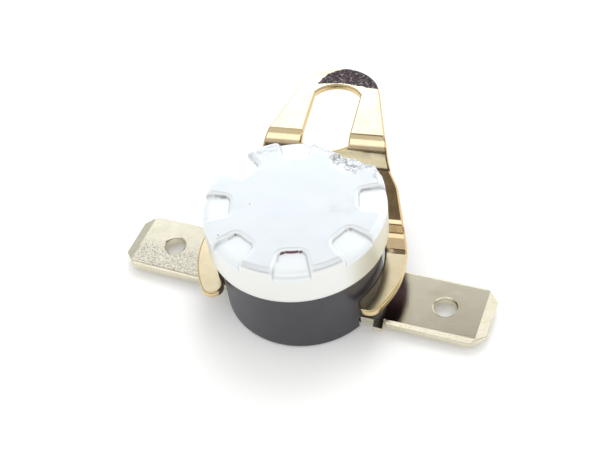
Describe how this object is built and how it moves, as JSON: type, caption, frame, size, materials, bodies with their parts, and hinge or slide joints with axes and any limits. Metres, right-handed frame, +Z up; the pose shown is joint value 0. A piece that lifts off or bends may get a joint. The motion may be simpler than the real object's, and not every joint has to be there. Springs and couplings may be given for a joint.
{
  "type": "bimetal thermal switch",
  "caption": "Round snap-disc thermal switch with a crimped metal cap, dark moulded base, flat push-on blades and a loose eared bracket.",
  "frame": {"origin": "centre of the base's flat underside, on the switch's own axis", "axes": "+Z up through the cap, +Y along the bracket's ear, +X across to the right-hand blade"},
  "size_m": [0.0354, 0.0297, 0.0112],
  "materials": {
    "cap_aluminium": "satin",
    "disc_bimetal": "satin",
    "guide_phenolic": "matte",
    "pin_ceramic": "matte",
    "base_phenolic": "satin",
    "blade_nickel": "satin",
    "rivet_brass": "satin",
    "leaf_copper": "satin",
    "contact_silver": "satin",
    "bracket_gold": "polished"
  },
  "bodies": {
    "switch": {"cap": "cap_aluminium", "bimetal_disc": "disc_bimetal", "guide_plate": "guide_phenolic", "base": "base_phenolic", "left_blade": "blade_nickel", "right_blade": "blade_nickel", "left_rivet": "rivet_brass", "right_rivet": "rivet_brass", "spring_leaf": "leaf_copper", "fixed_bridge": "rivet_brass", "fixed_contact": "contact_silver"},
    "bracket": {"bracket": "bracket_gold"},
    "pin": {"push_pin": "pin_ceramic"},
    "contact": {"moving_contact": "contact_silver"}
  },
  "joints": [
    {"name": "bracket_swivel", "type": "hinge", "parent": "switch", "child": "bracket", "pos_m": [0, 0, 0.0041], "axis": [0, 0, 1], "continuous": true},
    {"name": "pin_travel", "type": "slide", "parent": "switch", "child": "pin", "axis": [0, 0, -1], "range_m": [0, 0.0003], "stiffness_N_per_m": 500, "deforming": ["spring_leaf", "bimetal_disc"]},
    {"name": "contact_travel", "type": "slide", "parent": "switch", "child": "contact", "axis": [0, 0, -1], "range_m": [0, 0.0005], "stiffness_N_per_m": 300}
  ],
  "couplings": [
    {"joint": "contact_travel", "follows": "pin_travel", "ratio": 1.64}
  ]
}
